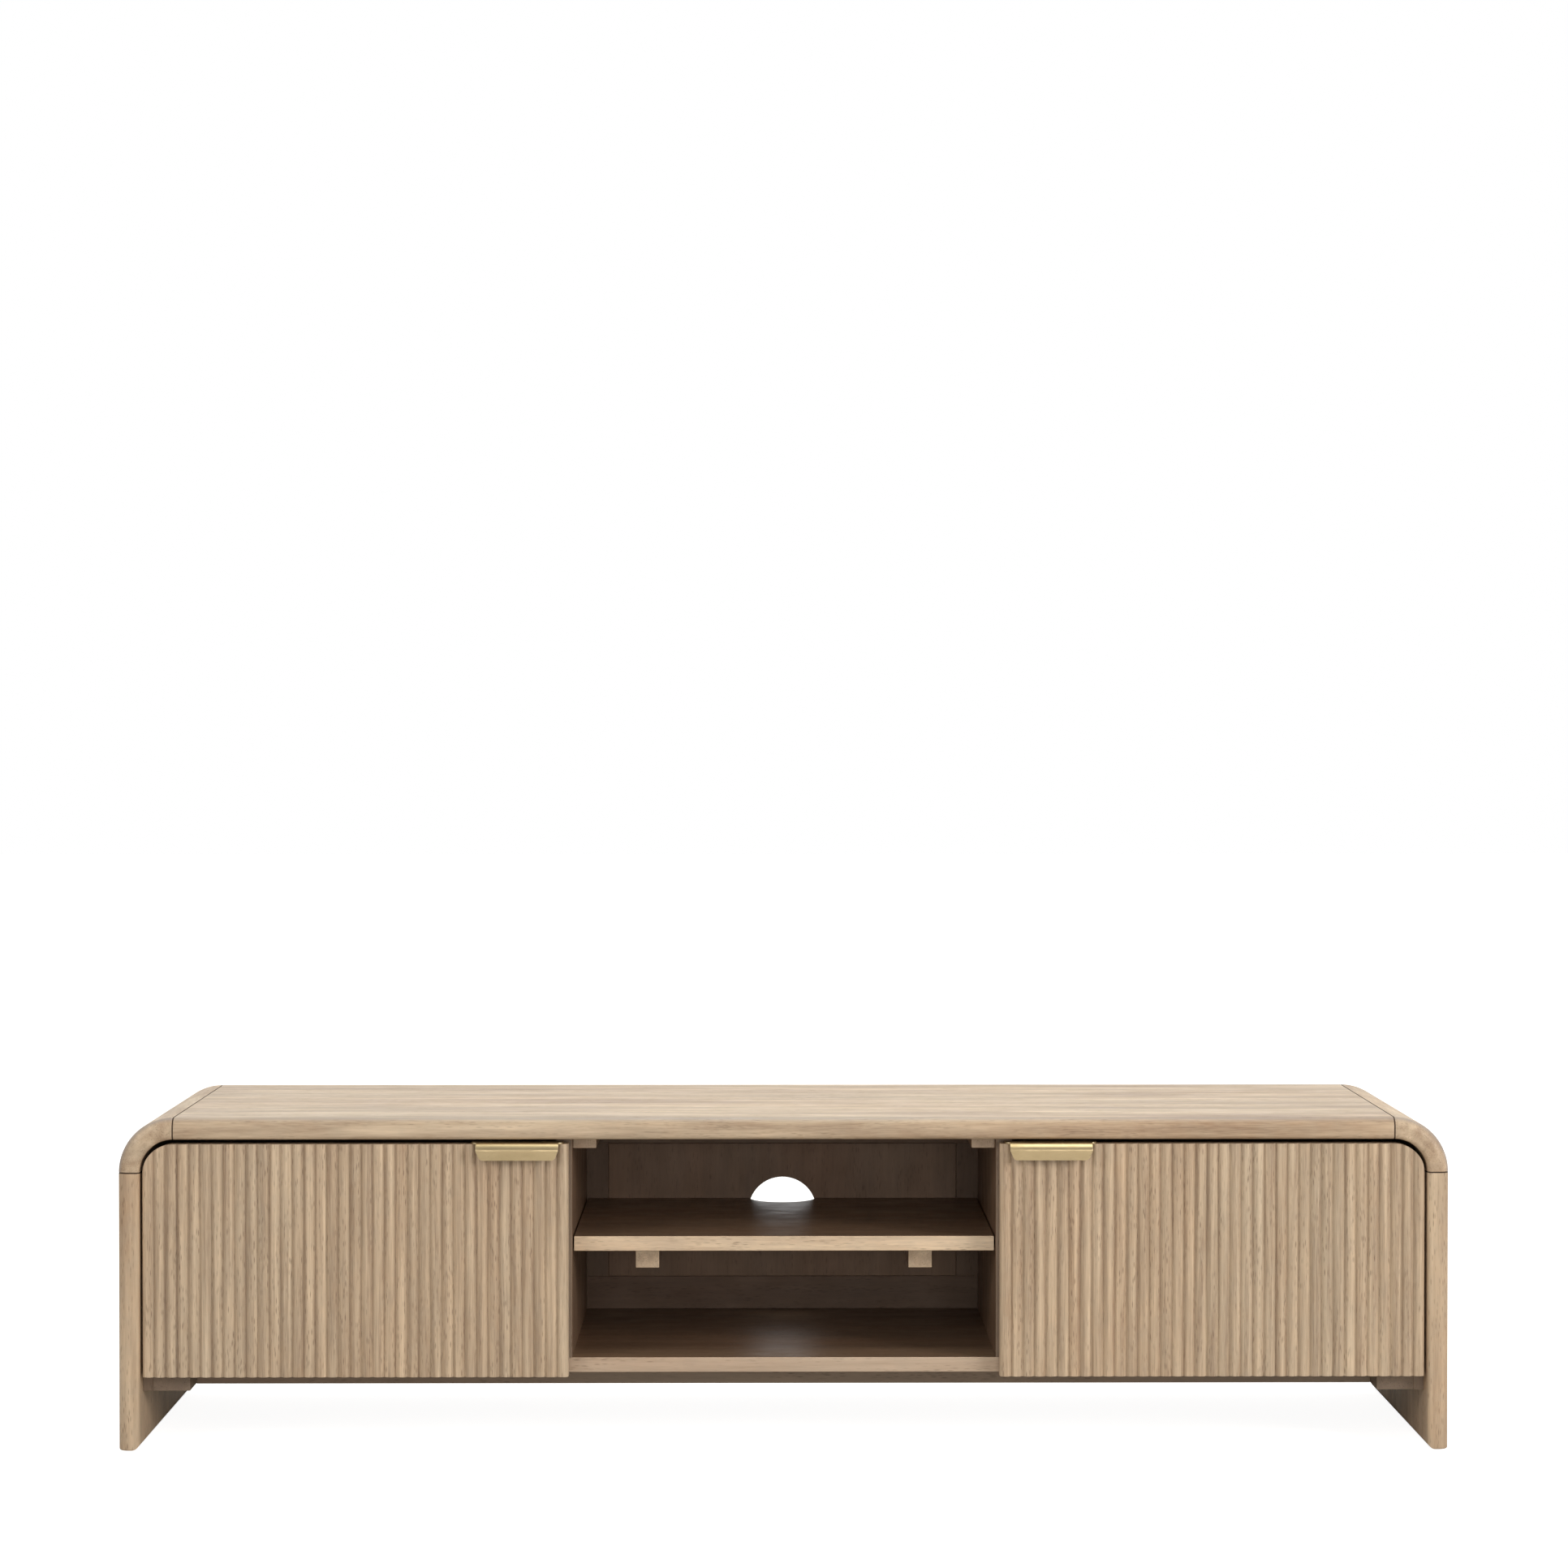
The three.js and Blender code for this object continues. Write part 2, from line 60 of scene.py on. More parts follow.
# camera in millimetres and degrees, lights in metres and watts
camera = {
    "sideways": -26.4,  # from the cabinet's middle
    "distance": 4229.7,  # from the front of the shell
    "height": 866.6,
    "turn": 0.354,  # degrees to the right
    "tilt": 0.888,  # degrees down
    "lens": 81.03,
    "sensor": 36,
}
lighting = {
    "ambient": 0.34,
    "backdrop": 1.0,
    "mirroredBehind": 1.1,  # what shiny things see of the backdrop
    "mirroredAhead": 0.5,  # and of the dim room in front
    "turnover": 0.3,  # how gently one gives way to the other
    "boxes": {
        # place, what it is turned to, width and height in metres, watts, colour
        "overhead": [(0.2, 0.1, 2.7), (0, 0.05, 0.35), (3.6, 1.4), 48, (0.96, 1.0, 0.9)],
        "right": [(4.0, -2.9, 1.9), (0, -0.1, 0.25), (1.7, 1.7), 112, (1.0, 0.975, 0.95)],
        "left": [(-3.4, -3.0, 2.1), (0, -0.1, 0.25), (2.0, 1.6), 50, (1.0, 0.975, 0.95)],
        "front": [(0.2, -6.2, 0.95), (0, -0.1, 0.25), (2.4, 0.9), 40, (1.0, 0.975, 0.95)],
    },
}
floorSettings = {
    "size": 40, "colour": "#c9c6c0", "grey": "#bdbab4", "cloud": (1.5, 1.5, 1.5),
    "roughness": 0.85, "glow": 0.92,
}


def shade(code):
    # linear colour of a web colour
    parts = [int(code[i : i + 2], 16) / 255 for i in (1, 3, 5)]
    return [p / 12.92 if p <= 0.04045 else ((p + 0.055) / 1.055) ** 2.4 for p in parts] + [1]


class Graph:
    # short way to lay out a material's nodes
    def __init__(self, tree):
        self.tree = tree
        tree.nodes.clear()

    def add(self, kind, settings=None, **inputs):
        node = self.tree.nodes.new(kind)
        for key, value in (settings or {}).items():
            setattr(node, key, value)
        for key, value in inputs.items():
            socket = node.inputs[int(key[1:])] if key[0] == "n" and key[1:].isdigit() else node.inputs[key]
            self.feed(socket, value)
        return node

    def feed(self, socket, value):
        if isinstance(value, bpy.types.NodeSocket):
            self.tree.links.new(value, socket)
        else:
            socket.default_value = value

    def math(self, operation, a, b):
        node = self.add("ShaderNodeMath", {"operation": operation}, n0=a, n1=b)
        return node.outputs[0]

    def stretched(self, vector, scale):
        node = self.add("ShaderNodeVectorMath", {"operation": "MULTIPLY"}, n0=vector, n1=scale)
        return node.outputs[0]

    def noise(self, vector, scale, detail=3.0, roughness=0.55):
        inputs = {"Vector": self.stretched(vector, scale), "Scale": 1.0, "Detail": detail}
        return self.add("ShaderNodeTexNoise", None, Roughness=roughness, **inputs).outputs["Fac"]

    def between(self, value, low, high, toLow=0.0, toHigh=1.0):
        inputs = {"From Min": low, "From Max": high, "To Min": toLow, "To Max": toHigh}
        return self.add("ShaderNodeMapRange", {"clamp": True}, Value=value, **inputs).outputs[0]

    def mix(self, factor, a, b):
        node = self.add("ShaderNodeMix", {"data_type": "RGBA"})
        for socket, value in ((node.inputs[0], factor), (node.inputs[6], a), (node.inputs[7], b)):
            self.feed(socket, value)
        return node.outputs[2]


def newMaterial(name):
    material = bpy.data.materials.new(name)
    material.use_nodes = True
    return material, Graph(material.node_tree)


def makeStage():
    eye = bpy.data.cameras.new("studio_camera")
    eye.lens = camera["lens"]
    eye.sensor_width = camera["sensor"]
    eye.clip_end = 100
    eyeObject = bpy.data.objects.new("studio_camera", eye)
    y = shellFront - camera["distance"] * mm
    eyeObject.location = (camera["sideways"] * mm, y, camera["height"] * mm)
    level = math.radians(90 - camera["tilt"])
    eyeObject.rotation_euler = (level, 0, -math.radians(camera["turn"]))
    scene.collection.objects.link(eyeObject)
    scene.camera = eyeObject

    for name, (place, aim, (width, height), watts, tint) in lighting["boxes"].items():
        lamp = bpy.data.lights.new(f"softbox_{name}", "AREA")
        lamp.shape = "RECTANGLE"
        lamp.size = width
        lamp.size_y = height
        lamp.energy = watts
        lamp.color = tint
        lampObject = bpy.data.objects.new(f"softbox_{name}", lamp)
        lampObject.location = place
        lampObject.visible_camera = False
        lampObject.rotation_euler = (Vector(aim) - Vector(place)).to_track_quat("-Z", "Y").to_euler()
        scene.collection.objects.link(lampObject)

    # a white studio: bright where it is seen or mirrored, softer as light
    world = bpy.data.worlds.new("studio")
    world.use_nodes = True
    scene.world = world
    g = Graph(world.node_tree)
    path = g.add("ShaderNodeLightPath")
    way = g.add("ShaderNodeTexCoord").outputs["Generated"]
    behind = g.add("ShaderNodeSeparateXYZ", None, Vector=way).outputs["Y"]
    soft = lighting["turnover"]
    mirrored = g.between(behind, -soft, soft, lighting["mirroredAhead"], lighting["mirroredBehind"])
    strength = g.between(path.outputs["Is Glossy Ray"], 0, 1, lighting["ambient"], mirrored)
    strength = g.between(path.outputs["Is Camera Ray"], 0, 1, strength, lighting["backdrop"])
    background = g.add("ShaderNodeBackground", None, Color=(1, 1, 1, 1), Strength=strength)
    g.add("ShaderNodeOutputWorld", None, Surface=background.outputs[0])

    bm = bmesh.new()
    bmesh.ops.create_grid(bm, x_segments=2, y_segments=2, size=floorSettings["size"] / 2)
    mesh = bpy.data.meshes.new("studio_floor")
    bm.to_mesh(mesh)
    bm.free()
    material, g = newMaterial("studio_floor")
    place = g.add("ShaderNodeTexCoord").outputs["Object"]
    cloud = g.noise(place, floorSettings["cloud"])
    colour = g.mix(cloud, shade(floorSettings["colour"]), shade(floorSettings["grey"]))
    inputs = {"Base Color": colour, "Roughness": floorSettings["roughness"]}
    surface = g.add("ShaderNodeBsdfPrincipled", None, **inputs)
    seen = g.add("ShaderNodeLightPath").outputs["Is Camera Ray"]
    glow = g.add("ShaderNodeEmission", None, Strength=g.math("MULTIPLY", seen, floorSettings["glow"]))
    both = g.add("ShaderNodeAddShader", None, n0=surface.outputs[0], n1=glow.outputs[0])
    g.add("ShaderNodeOutputMaterial", None, Surface=both.outputs[0])
    mesh.materials.append(material)
    floor = bpy.data.objects.new("studio_floor", mesh)
    scene.collection.objects.link(floor)


# attributes of a piece: "grain" holds each corner's place along, across and through the grain, "tone" a
# strip's own shade, "arris" marks eased edges, "groove" the dark sides of a seam and the painted shade
# in the valleys between reeds, "cutEnd" the faces sawn across the grain and "washed" where a painted grey
# reflection lies on the round front edges
woods = {
    "shellTop": {
        "light": "#dac0a2", "dark": "#8c6f56", "grey": "#a89b87",
        "pore": "#6b5641", "seam": "#493829", "reflectionGrey": "#978a83",
        "figure": (3.0, 36, 36), "streak": (6, 100, 100), "mottle": 55, "cast": (1.2, 7, 7),
        "contrast": 1.0, "poreAmount": 0.7, "endShade": 0.86, "roughness": 0.42, "bump": 0.35,
    },
    "cornerWood": {
        "light": "#d9c0a2", "dark": "#8f7056", "grey": "#a59582",
        "pore": "#654e3c", "seam": "#493829", "reflectionGrey": "#978a83",
        "figure": (7, 34, 34), "streak": (18, 110, 110), "mottle": 60, "cast": (3, 9, 9),
        "contrast": 0.8, "poreAmount": 0.8, "endShade": 0.97, "roughness": 0.46, "bump": 0.4,
    },
    "shellUpright": {
        "light": "#d3b899", "dark": "#9c7f65", "grey": "#a59887",
        "pore": "#644c39", "seam": "#493829", "reflectionGrey": "#978a83",
        "figure": (4.0, 34, 34), "streak": (9, 200, 200), "mottle": 70, "cast": (2, 14, 14),
        "contrast": 0.8, "poreAmount": 1.0, "endShade": 0.85, "roughness": 0.52, "bump": 0.5,
    },
    "reeds": {
        "light": "#dec4a5", "dark": "#8c7058", "grey": "#a49684",
        "pore": "#5e4634", "seam": "#493829", "reflectionGrey": "#978a83",
        "figure": (3.0, 120, 120), "streak": (8, 300, 300), "mottle": 80, "cast": (1.0, 9, 9),
        "contrast": 0.85, "poreAmount": 1.0, "endShade": 0.85, "roughness": 0.46, "bump": 0.45,
    },
    # painted shade: the cabinet's wood darkened for the boards inside it, where little light reaches
    "inside": {
        "light": "#8b6d55", "dark": "#634c3a", "grey": "#6b5a4b",
        "pore": "#3b2b20", "seam": "#2d221a", "reflectionGrey": "#776b60",
        "figure": (2.0, 22, 22), "streak": (6, 180, 180), "mottle": 45, "cast": (1.5, 8, 8),
        "contrast": 0.8, "poreAmount": 0.6, "endShade": 0.9, "roughness": 0.36, "bump": 0.4,
    },
    # the back's own browner wood, darkened further as painted shade inside the cabinet
    "backPanel": {
        "light": "#94755c", "dark": "#735843", "grey": "#7f6a58",
        "pore": "#45342a", "seam": "#2d221a", "reflectionGrey": "#776b60",
        "figure": (5.0, 26, 26), "streak": (9, 160, 160), "mottle": 45, "cast": (2, 8, 8),
        "contrast": 0.7, "poreAmount": 0.6, "endShade": 0.9, "roughness": 0.55, "bump": 0.4,
    },
    "frontEdge": {
        "light": "#ead0b0", "dark": "#b89b80", "grey": "#b7a997",
        "pore": "#785f4a", "seam": "#493829", "reflectionGrey": "#978a83",
        "figure": (6.0, 80, 80), "streak": (16, 300, 300), "mottle": 90, "cast": (2, 12, 12),
        "contrast": 0.8, "poreAmount": 0.9, "endShade": 0.9, "roughness": 0.52, "bump": 0.45,
    },
    "batten": {
        "light": "#cdb49c", "dark": "#a68d76", "grey": "#ab9c8c",
        "pore": "#6f5a49", "seam": "#493829", "reflectionGrey": "#978a83",
        "figure": (2.5, 40, 40), "streak": (8, 220, 220), "mottle": 80, "cast": (2, 10, 10),
        "contrast": 0.8, "poreAmount": 0.8, "endShade": 0.97, "roughness": 0.62, "bump": 0.6,
    },
    "shadedBatten": {
        "light": "#927d6a", "dark": "#746152", "grey": "#7f7365",
        "pore": "#4a3b30", "seam": "#2d221a", "reflectionGrey": "#776b60",
        "figure": (2.5, 40, 40), "streak": (8, 220, 220), "mottle": 80, "cast": (2, 10, 10),
        "contrast": 0.8, "poreAmount": 0.8, "endShade": 0.9, "roughness": 0.66, "bump": 0.6,
    },
}

# what the woods share: how strongly each layer shows, and how its noise is spread
woodLayers = {
    "wander": (1.1, 5, 5), "sway": (0, 0.022, 0.022), "spread": (0.36, 0.66), "fibres": (40, 900, 900),
    "poreCells": (80, 520, 520), "poreEdge": (0.16, 0.42), "poreShare": (0.34, 0.55),
    "poreBands": (4, 90, 90), "bandSpread": (0.36, 0.62), "mottleSpread": (0.35, 0.68),
    "streak": 0.55, "mottle": 0.28, "fibre": 0.3, "pores": 0.6,
    "hues": (0.497, 0.503), "saturations": (1.06, 0.94), "tones": (-3, 1), "values": (0.6, 1.12),
    "drifts": (2.5, 20, 20), "driftAmounts": (0.5, 1.0), "rubs": (30, 30, 30), "rubAmounts": (0.12, 0.5),
    "fibreSpread": (0.35, 0.65), "castSpread": (0.3, 0.7), "driftSpread": (0.3, 0.65),
    "rubSpread": (0.35, 0.6), "roughnessShift": (-0.05, 0.06), "poreRoughness": 0.25,
    "fibreHeight": 0.35, "streakHeight": 0.25, "relief": 0.00025, "specular": 0.45,
}


def makeWood(name, wood):
    own = woodLayers
    material, g = newMaterial(name)
    grain = g.add("ShaderNodeAttribute", {"attribute_name": "grain"}).outputs["Vector"]
    tone = g.add("ShaderNodeAttribute", {"attribute_name": "tone"}).outputs["Fac"]
    arris = g.add("ShaderNodeAttribute", {"attribute_name": "arris"}).outputs["Fac"]
    seamAndValleyShade = g.add("ShaderNodeAttribute", {"attribute_name": "seamAndValleyShade"}).outputs["Fac"]
    cutEnd = g.add("ShaderNodeAttribute", {"attribute_name": "cutEnd"}).outputs["Fac"]
    paintedReflection = g.add("ShaderNodeAttribute", {"attribute_name": "paintedReflection"}).outputs["Fac"]

    # the fibres wander a little along the board
    slow = g.stretched(grain, own["wander"])
    wander = g.add("ShaderNodeTexNoise", None, Vector=slow, Scale=1.0, Detail=2.0)
    sway = g.stretched(wander.outputs["Color"], own["sway"])
    grain = g.add("ShaderNodeVectorMath", {"operation": "ADD"}, n0=grain, n1=sway).outputs[0]

    figure = g.between(g.noise(grain, wood["figure"], 5.0, 0.62), *own["spread"])
    streak = g.between(g.noise(grain, wood["streak"], 3.0, 0.6), *own["spread"])
    fibre = g.noise(grain, own["fibres"], 2.0)
    blotches = (wood["mottle"] / 2, wood["mottle"], wood["mottle"])
    mottle = g.between(g.noise(grain, blotches, 3.0), *own["mottleSpread"])

    # pores: short dark dashes, scattered more thickly in some bands than in others
    dashes = g.stretched(grain, own["poreCells"])
    cells = g.add("ShaderNodeTexVoronoi", {"feature": "F1"}, Vector=dashes, Scale=1.0)
    dash = g.between(cells.outputs["Distance"], *own["poreEdge"], 1.0, 0.0)
    few = g.between(cells.outputs["Color"], *own["poreShare"])
    band = g.between(g.noise(grain, own["poreBands"], 2.0), *own["bandSpread"])
    pores = g.math("MULTIPLY", g.math("MULTIPLY", dash, few), g.math("MULTIPLY", band, wood["poreAmount"]))

    colour = g.mix(g.math("MULTIPLY", figure, wood["contrast"]), shade(wood["light"]), shade(wood["dark"]))
    colour = g.mix(g.math("MULTIPLY", streak, wood["contrast"] * own["streak"]), colour, shade(wood["dark"]))
    colour = g.mix(g.math("MULTIPLY", mottle, own["mottle"]), colour, shade(wood["grey"]))
    colour = g.mix(g.between(fibre, *own["fibreSpread"], 0.0, own["fibre"]), colour, shade(wood["light"]))
    colour = g.mix(g.math("MULTIPLY", pores, own["pores"]), colour, shade(wood["pore"]))

    # strips and boards differ in shade, and broad bands are pinker or more olive
    cast = g.between(g.noise(grain, wood["cast"], 2.0), *own["castSpread"])
    inputs = {
        "Hue": g.between(cast, 0, 1, *own["hues"]),
        "Saturation": g.between(cast, 0, 1, *own["saturations"]),
        "Value": g.between(tone, *own["tones"], *own["values"]),
    }
    colour = g.add("ShaderNodeHueSaturation", None, Color=colour, **inputs).outputs[0]
    darker = g.math("MULTIPLY", cutEnd, 1 - wood["endShade"])
    colour = g.mix(darker, colour, shade(wood["pore"]))

    # painted reflection: grey from the studio laid on the round front edges, patchy in drifts
    drift = g.between(g.noise(grain, own["drifts"], 3.0), *own["driftSpread"], *own["driftAmounts"])
    colour = g.mix(g.math("MULTIPLY", drift, paintedReflection), colour, shade(wood["reflectionGrey"]))

    # the eased edges are rubbed paler here and there, dark finish has gathered in the seams, and the same
    # mask lays painted shade in the valleys between the reeds
    rubbed = g.between(g.noise(grain, own["rubs"], 3.0), *own["rubSpread"], *own["rubAmounts"])
    colour = g.mix(g.math("MULTIPLY", rubbed, arris), colour, shade(wood["light"]))
    colour = g.mix(seamAndValleyShade, colour, shade(wood["seam"]))

    roughness = g.math("ADD", g.between(mottle, 0, 1, *own["roughnessShift"]), wood["roughness"])
    rougher = g.math("MULTIPLY", g.math("MAXIMUM", pores, seamAndValleyShade), own["poreRoughness"])
    roughness = g.math("ADD", roughness, rougher)
    relief = g.math("SUBTRACT", g.math("MULTIPLY", fibre, own["fibreHeight"]), pores)
    relief = g.math("ADD", relief, g.math("MULTIPLY", streak, own["streakHeight"]))
    bump = g.add("ShaderNodeBump", None, Height=relief, Strength=wood["bump"], Distance=own["relief"])
    inputs = {"Base Color": colour, "Normal": bump.outputs[0]}
    surface = g.add("ShaderNodeBsdfPrincipled", None, Roughness=roughness, **inputs)
    surface.inputs["Specular IOR Level"].default_value = own["specular"]
    g.add("ShaderNodeOutputMaterial", None, Surface=surface.outputs[0])
    return material


# "brush" stretches the fine lines of brushing, "worn" shows on the rubbed edges
metals = {
    "satinBrass": {
        "colour": "#b9a581", "worn": "#dccba8", "dull": "#a6926c",
        "brush": (12, 1800, 1800), "roughness": 0.35, "bump": 0.1,
    },
    "nickelPlate": {
        "colour": "#c3c1bc", "worn": "#dad8d4", "dull": "#9b9a96",
        "brush": (60, 900, 900), "roughness": 0.26, "bump": 0.06,
    },
}

metalLayers = {
    "haze": (35, 50, 50), "hazeSpread": (0.35, 0.7), "hazeShare": 0.35, "hazeRoughness": (-0.05, 0.09),
    "marks": (300, 420, 420), "markSpread": (0.6, 0.72), "markShare": 0.2, "rubbed": 0.7,
    "brushSpread": (0.3, 0.7), "brushRoughness": (-0.04, 0.05), "relief": 0.0001,
}


def makeMetal(name, metal):
    own = metalLayers
    material, g = newMaterial(name)
    grain = g.add("ShaderNodeAttribute", {"attribute_name": "grain"}).outputs["Vector"]
    arris = g.add("ShaderNodeAttribute", {"attribute_name": "arris"}).outputs["Fac"]
    brush = g.noise(grain, metal["brush"], 2.0)
    haze = g.between(g.noise(grain, own["haze"], 4.0), *own["hazeSpread"])
    marks = g.between(g.noise(grain, own["marks"], 2.0), *own["markSpread"])
    colour = g.mix(g.math("MULTIPLY", haze, own["hazeShare"]), shade(metal["colour"]), shade(metal["dull"]))
    colour = g.mix(g.math("MULTIPLY", marks, own["markShare"]), colour, shade(metal["dull"]))
    colour = g.mix(g.math("MULTIPLY", arris, own["rubbed"]), colour, shade(metal["worn"]))
    roughness = g.math("ADD", g.between(haze, 0, 1, *own["hazeRoughness"]), metal["roughness"])
    roughness = g.math("ADD", roughness, g.between(brush, *own["brushSpread"], *own["brushRoughness"]))
    bump = g.add("ShaderNodeBump", None, Height=brush, Strength=metal["bump"], Distance=own["relief"])
    inputs = {"Base Color": colour, "Normal": bump.outputs[0]}
    surface = g.add("ShaderNodeBsdfPrincipled", None, Metallic=1.0, Roughness=roughness, **inputs)
    g.add("ShaderNodeOutputMaterial", None, Surface=surface.outputs[0])
    return material


finishes = {name: makeWood(name, wood) for name, wood in woods.items()}
finishes.update({name: makeMetal(name, metal) for name, metal in metals.items()})
print("finishes:", ", ".join(finishes))


near = 2e-5  # two places this close, in metres, are one
flatUnder = 0.5  # degrees: faces that turn less than this are one flat
smoothUnder = 30  # degrees: sharper turns keep their edge


def blankBoard(low, high):
    bm = bmesh.new()
    bmesh.ops.create_cube(bm, size=1)
    bmesh.ops.scale(bm, vec=high - low, verts=bm.verts)
    bmesh.ops.translate(bm, vec=(low + high) / 2, verts=bm.verts)
    return bm


def edgesAt(bm, **place):
    # edges that lie at these coordinates
    def fits(vert):
        return all(abs(getattr(vert.co, axis) - value) < near for axis, value in place.items())

    return [e for e in bm.edges if fits(e.verts[0]) and fits(e.verts[1])]


def roundOff(bm, geom, radius, segments, affect="EDGES"):
    return bmesh.ops.bevel(
        bm, geom=geom, offset=radius * mm, offset_type="OFFSET", affect=affect,
        segments=segments, profile=0.5, material=-1, clamp_overlap=True,
    )


def roundCorner(bm, verts, radius, segments):
    roundOff(bm, verts, radius, segments, "VERTICES")


def layerOf(bm, name):
    return bm.faces.layers.float.get(name) or bm.faces.layers.float.new(name)


def cutRound(bm, corner, away, radius, cuts):
    # shave a corner that runs along the depth round, in many small flats
    centre = Vector((corner.x - away[0] * radius, 0, corner.z - away[1] * radius))
    for i in range(cuts):
        angle = (i + 0.5) * math.pi / 2 / cuts
        out = Vector((away[0] * math.cos(angle), 0, away[1] * math.sin(angle)))
        everything = bm.verts[:] + bm.edges[:] + bm.faces[:]
        cut = bmesh.ops.bisect_plane(
            bm, geom=everything, plane_co=centre + out * radius, plane_no=out, dist=1e-7, clear_outer=True,
        )
        rim = [e for e in cut["geom_cut"] if isinstance(e, bmesh.types.BMEdge)]
        bmesh.ops.contextual_create(bm, geom=rim)
    bmesh.ops.recalc_face_normals(bm, faces=bm.faces)


def easeEdges(bm, width, test=None, sharper=40, mark="arris"):
    # takes the sharpness off every convex edge and marks the narrow faces left there
    limit = math.radians(sharper)
    sharp = [e for e in bm.edges if e.is_manifold and e.is_convex and e.calc_face_angle(0) > limit]
    if test:
        sharp = [e for e in sharp if test(e)]
    layerOf(bm, mark)
    made = roundOff(bm, sharp, width, 2)
    layer = layerOf(bm, mark)
    for face in made["faces"]:
        face[layer] = 1.0


def cadCopy(node, ease, **how):
    # a merged copy of the node's own shape, its flats made whole and its edges eased
    bm = bmesh.new()
    bm.from_mesh(nodes[node].data)
    bmesh.ops.remove_doubles(bm, verts=bm.verts, dist=near / 4)
    bmesh.ops.dissolve_limit(bm, angle_limit=math.radians(flatUnder), verts=bm.verts, edges=bm.edges)
    if ease:
        easeEdges(bm, ease, **how)
    return bm


def mirrored(bm):
    other = bm.copy()
    bmesh.ops.scale(other, vec=(-1, 1, 1), verts=other.verts)
    bmesh.ops.reverse_faces(other, faces=other.faces)
    return other


def meshObject(name, bm):
    mesh = bpy.data.meshes.new(name)
    bm.to_mesh(mesh)
    made = bpy.data.objects.new(name, mesh)
    scene.collection.objects.link(made)
    return made


def cutAway(bm, cutter):
    # takes the cutter's shape out of the piece
    blank, tool = meshObject("blank", bm), meshObject("tool", cutter)
    saw = blank.modifiers.new("saw", "BOOLEAN")
    saw.operation = "DIFFERENCE"
    saw.solver = "EXACT"
    saw.object = tool
    bpy.context.view_layer.update()
    cut = blank.evaluated_get(bpy.context.evaluated_depsgraph_get()).to_mesh()
    bm.clear()
    bm.from_mesh(cut)
    for spent in (blank, tool):
        bpy.data.objects.remove(spent)
    cutter.free()


grainAxes = {"x": (0, 1, 2), "y": (1, 0, 2), "z": (2, 0, 1)}
# how far pieces and strips may differ either way, in metres, and in tone for the last
varied = {"piece": 3, "alongStrip": 0.4, "throughStrip": 0.02, "stripTone": 0.35}


def either(name):
    return dice.uniform(-varied[name], varied[name])


def finishPiece(name, bm, body, slot, finish, stands=(), grain="x", tone=0.0, strip=None, front=None):
    # writes the piece's own grain, sets its finishes and lets it ride
    order = grainAxes[grain]
    shift = [either("piece") for _ in range(3)]
    strips = {}
    for mark in ("arris", "seamAndValleyShade", "tone", "cutEnd", "paintedReflection"):
        layerOf(bm, mark)
    toneLayer, endLayer = layerOf(bm, "tone"), layerOf(bm, "cutEnd")
    grainLayer = bm.loops.layers.float_vector.new("grain")
    bm.normal_update()
    for face in bm.faces:
        own, ownTone = (0, 0, 0), tone
        if strip:
            key = strip(face)
            if key not in strips:
                moved = (either("alongStrip"), 0, either("throughStrip"))
                strips[key] = (moved, either("stripTone"))
            own = strips[key][0]
            ownTone = tone + strips[key][1]
        # faces turned to the front take the second finish, lighter or darker than the rest of the board for the light
        # that falls there: painted light and shade
        if front and face.normal.y < -0.5:
            face.material_index = 1
        face[toneLayer] = ownTone
        face[endLayer] = max(0.0, 2 * abs(face.normal[order[0]]) - 1)
        for loop in face.loops:
            co = loop.vert.co
            loop[grainLayer] = Vector(co[order[i]] + shift[i] + own[i] for i in range(3))
    piece = meshObject(name, bm)
    bm.free()
    for used in filter(None, (finish, front)):
        piece.data.materials.append(finishes[used])
    piece.data.shade_smooth()
    piece.data.set_sharp_from_angle(angle=math.radians(smoothUnder))
    even = piece.modifiers.new("even_normals", "WEIGHTED_NORMAL")
    even.keep_sharp = True
    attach(piece, body)
    if stands:
        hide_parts(*stands)


def finishPair(name, bm, body, slot, finish, node=None, **how):
    # the right-hand piece and its mirror image
    for side, sign in sides.items():
        shape = bm.copy() if sign > 0 else mirrored(bm)
        stands = [f"{side}_{node}"] if node else []
        finishPiece(f"{name}_{side}", shape, body.format(side=side), slot, finish, stands, **how)
    bm.free()


# the rounded shell: top, corner blocks and sides, all in millimetres
shell = {
    "frontRound": 12, "innerRound": 5, "backRound": 2, "foot": 3, "footInner": 11, "footCuts": 12,
    "frontSteps": 10, "innerSteps": 6, "backSteps": 4, "footSteps": 5, "sectionSteps": 5, "turnSteps": 32,
    "seamEase": 0.7, "paintedReflectionAt": 0.42, "paintedReflectionHalf": 0.42,
}


def paintFrontReflection(bm):
    # marks where a painted grey reflection lies on the outer front round, most strongly in its middle
    layer = layerOf(bm, "paintedReflection")
    bm.normal_update()
    for face in bm.faces:
        out = face.normal
        if out.x > -near and out.z > -near:
            face[layer] = max(0.0, 1 - abs(out.y + shell["paintedReflectionAt"]) / shell["paintedReflectionHalf"])


def makeTop():
    low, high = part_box("top_board")
    bm = blankBoard(low, high)
    roundOff(bm, edgesAt(bm, y=low.y, z=high.z), shell["frontRound"], shell["frontSteps"])
    roundOff(bm, edgesAt(bm, y=low.y, z=low.z), shell["innerRound"], shell["innerSteps"])
    roundOff(bm, edgesAt(bm, y=high.y), shell["backRound"], shell["backSteps"])
    paintFrontReflection(bm)
    easeEdges(bm, shell["seamEase"], mark="seamAndValleyShade")
    finishPiece("top_plank", bm, "carcass", "lengthwise_wood", "shellTop", ["top_board"], tone=0.1)


